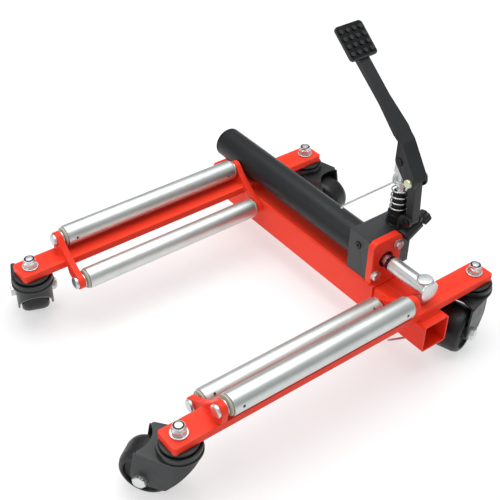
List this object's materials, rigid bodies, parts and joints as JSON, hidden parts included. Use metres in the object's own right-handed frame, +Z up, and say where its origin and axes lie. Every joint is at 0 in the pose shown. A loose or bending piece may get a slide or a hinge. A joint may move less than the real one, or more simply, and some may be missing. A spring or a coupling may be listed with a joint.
{
  "type": "wheel dolly jack",
  "caption": "Hydraulic wheel dolly jack: a square-tube frame on swivel casters with roller arms that a foot pump draws together under a tyre.",
  "frame": {"origin": "on the floor, under the middle of the overall box", "axes": "+Z up, +X along the square beam towards the sliding arm, +Y from the open front of the arms to the beam"},
  "size_m": [0.5478, 0.6598, 0.4487],
  "materials": {
    "red_paint": "bright orange-red powder coat",
    "black_paint": "satin black powder coat",
    "rubber_tread": "satin black powder coat, studded",
    "zinc_tube": "bright zinc plated tube",
    "zinc_plate": "bright zinc plated hardware",
    "spring_steel": "zinc plated wire",
    "polished_rod": "ground and chromed rod",
    "dark_steel": "black oxide steel",
    "nylon": "natural nylon",
    "black_nylon": "black moulded nylon",
    "wheel_polymer": "black moulded polymer"
  },
  "bodies": {
    "frame": {"main_beam": "red_paint", "left_arm_bar": "red_paint", "left_front_roller_plate": "red_paint", "left_rear_roller_plate": "red_paint", "ram_bracket_plate": "red_paint", "bracket_bolts": "zinc_plate", "pump_block": "black_paint", "block_plug": "dark_steel", "tank_tube": "black_paint", "tank_end_cap": "black_paint", "pressure_tube": "dark_steel", "gland_ring": "dark_steel", "pump_barrel": "black_paint", "link_bracket": "black_paint", "link_pin": "dark_steel", "left_roller_axles": "zinc_plate", "left_roller_bushes": "nylon", "left_caster_races": "black_paint", "left_kingpins": "zinc_plate", "left_kingpin_nuts": "zinc_plate"},
    "carriage": {"inner_tube": "red_paint", "packing_plate": "red_paint", "right_arm_bar": "red_paint", "right_front_roller_plate": "red_paint", "right_rear_roller_plate": "red_paint", "ram_rod": "polished_rod", "ram_piston": "dark_steel", "ram_sleeve": "zinc_plate", "ram_lock_ring": "dark_steel", "ram_pin": "zinc_plate", "right_roller_axles": "zinc_plate", "right_roller_bushes": "nylon", "right_caster_races": "black_paint", "right_kingpins": "zinc_plate", "right_kingpin_nuts": "zinc_plate"},
    "clip": {"ram_pin_clip": "spring_steel"},
    "plunger": {"pump_plunger": "zinc_plate", "return_spring": "spring_steel"},
    "link": {"rocking_link": "black_paint"},
    "pedal": {"pedal_lever": "black_paint", "pedal_pad": "rubber_tread", "lever_pins": "zinc_plate"},
    "knob": {"release_knob": "black_nylon"},
    "hook": {"hold_down_hook": "spring_steel"},
    "left_outer_roller": {"left_outer_roller": "zinc_tube"},
    "left_inner_roller": {"left_inner_roller": "zinc_tube"},
    "right_outer_roller": {"right_outer_roller": "zinc_tube"},
    "right_inner_roller": {"right_inner_roller": "zinc_tube"},
    "front_left_caster": {"front_left_caster_fork": "black_paint", "front_left_caster_axle": "zinc_plate"},
    "front_left_wheel": {"front_left_caster_wheel": "wheel_polymer"},
    "front_right_caster": {"front_right_caster_fork": "black_paint", "front_right_caster_axle": "zinc_plate"},
    "front_right_wheel": {"front_right_caster_wheel": "wheel_polymer"},
    "rear_left_caster": {"rear_left_caster_fork": "black_paint", "rear_left_caster_axle": "zinc_plate"},
    "rear_left_wheel": {"rear_left_caster_wheel": "wheel_polymer"},
    "rear_right_caster": {"rear_right_caster_fork": "black_paint", "rear_right_caster_axle": "zinc_plate"},
    "rear_right_wheel": {"rear_right_caster_wheel": "wheel_polymer"}
  },
  "joints": [
    {"name": "carriage_slide", "type": "slide", "parent": "frame", "child": "carriage", "axis": [1, 0, 0], "range_m": [0, 0.2]},
    {"name": "left_outer_roller_spin", "type": "hinge", "parent": "frame", "child": "left_outer_roller", "pos_m": [-0.20067, 0.00487, 0.1365], "axis": [0, 1, 0], "continuous": true},
    {"name": "left_inner_roller_spin", "type": "hinge", "parent": "frame", "child": "left_inner_roller", "pos_m": [-0.13956, 0.00487, 0.0917], "axis": [0, 1, 0], "continuous": true},
    {"name": "right_outer_roller_spin", "type": "hinge", "parent": "carriage", "child": "right_outer_roller", "pos_m": [0.23494, 0.00487, 0.1365], "axis": [0, 1, 0], "continuous": true},
    {"name": "right_inner_roller_spin", "type": "hinge", "parent": "carriage", "child": "right_inner_roller", "pos_m": [0.17383, 0.00487, 0.0917], "axis": [0, 1, 0], "continuous": true},
    {"name": "front_left_swivel", "type": "hinge", "parent": "frame", "child": "front_left_caster", "pos_m": [-0.18826, -0.26788, 0.09], "axis": [0, 0, 1], "continuous": true},
    {"name": "front_left_wheel_spin", "type": "hinge", "parent": "front_left_caster", "child": "front_left_wheel", "pos_m": [-0.2311, -0.25254, 0.038], "axis": [-0.3371, -0.9415, 0], "continuous": true},
    {"name": "front_right_swivel", "type": "hinge", "parent": "carriage", "child": "front_right_caster", "pos_m": [0.22254, -0.26788, 0.09], "axis": [0, 0, 1], "continuous": true},
    {"name": "front_right_wheel_spin", "type": "hinge", "parent": "front_right_caster", "child": "front_right_wheel", "pos_m": [0.18508, -0.29372, 0.038], "axis": [0.5678, -0.8231, 0], "continuous": true},
    {"name": "rear_left_swivel", "type": "hinge", "parent": "frame", "child": "rear_left_caster", "pos_m": [-0.18826, 0.27762, 0.09], "axis": [0, 0, 1], "continuous": true},
    {"name": "rear_left_wheel_spin", "type": "hinge", "parent": "rear_left_caster", "child": "rear_left_wheel", "pos_m": [-0.14543, 0.29296, 0.038], "axis": [-0.3371, 0.9415, 0], "continuous": true},
    {"name": "rear_right_swivel", "type": "hinge", "parent": "carriage", "child": "rear_right_caster", "pos_m": [0.22254, 0.27762, 0.09], "axis": [0, 0, 1], "continuous": true},
    {"name": "rear_right_wheel_spin", "type": "hinge", "parent": "rear_right_caster", "child": "rear_right_wheel", "pos_m": [0.2369, 0.23445, 0.038], "axis": [0.9489, 0.3156, 0], "continuous": true},
    {"name": "link_rock", "type": "hinge", "parent": "frame", "child": "link", "pos_m": [0.14314, 0.20887, 0.2], "axis": [0, -1, 0], "range_deg": [-7.5, 0.5]},
    {"name": "pedal_swing", "type": "hinge", "parent": "link", "child": "pedal", "pos_m": [0.13883, 0.20887, 0.2683], "axis": [0, -1, 0], "range_deg": [0, 32]},
    {"name": "plunger_stroke", "type": "slide", "parent": "frame", "child": "plunger", "axis": [0, 0, 1], "range_m": [-0.0128, 0.0005], "stiffness_N_per_m": 150, "springref_m": 0.02, "deforming": ["return_spring"]},
    {"name": "release_turn", "type": "hinge", "parent": "frame", "child": "knob", "pos_m": [0.13964, 0.20087, 0.168], "axis": [0, 0.866, 0.5], "range_deg": [0, 180]},
    {"name": "hook_swing", "type": "hinge", "parent": "plunger", "child": "hook", "pos_m": [0.11414, 0.20887, 0.25], "axis": [0, 0, 1], "range_deg": [-40, 40]},
    {"name": "clip_pull", "type": "slide", "parent": "carriage", "child": "clip", "axis": [-0.3843, -0.9232, 0], "range_m": [0, 0.03]}
  ],
  "couplings": [
    {"joint": "link_rock", "follows": "pedal_swing", "ratio": -0.2164},
    {"joint": "plunger_stroke", "follows": "pedal_swing", "m_per_rad": -0.02192}
  ]
}
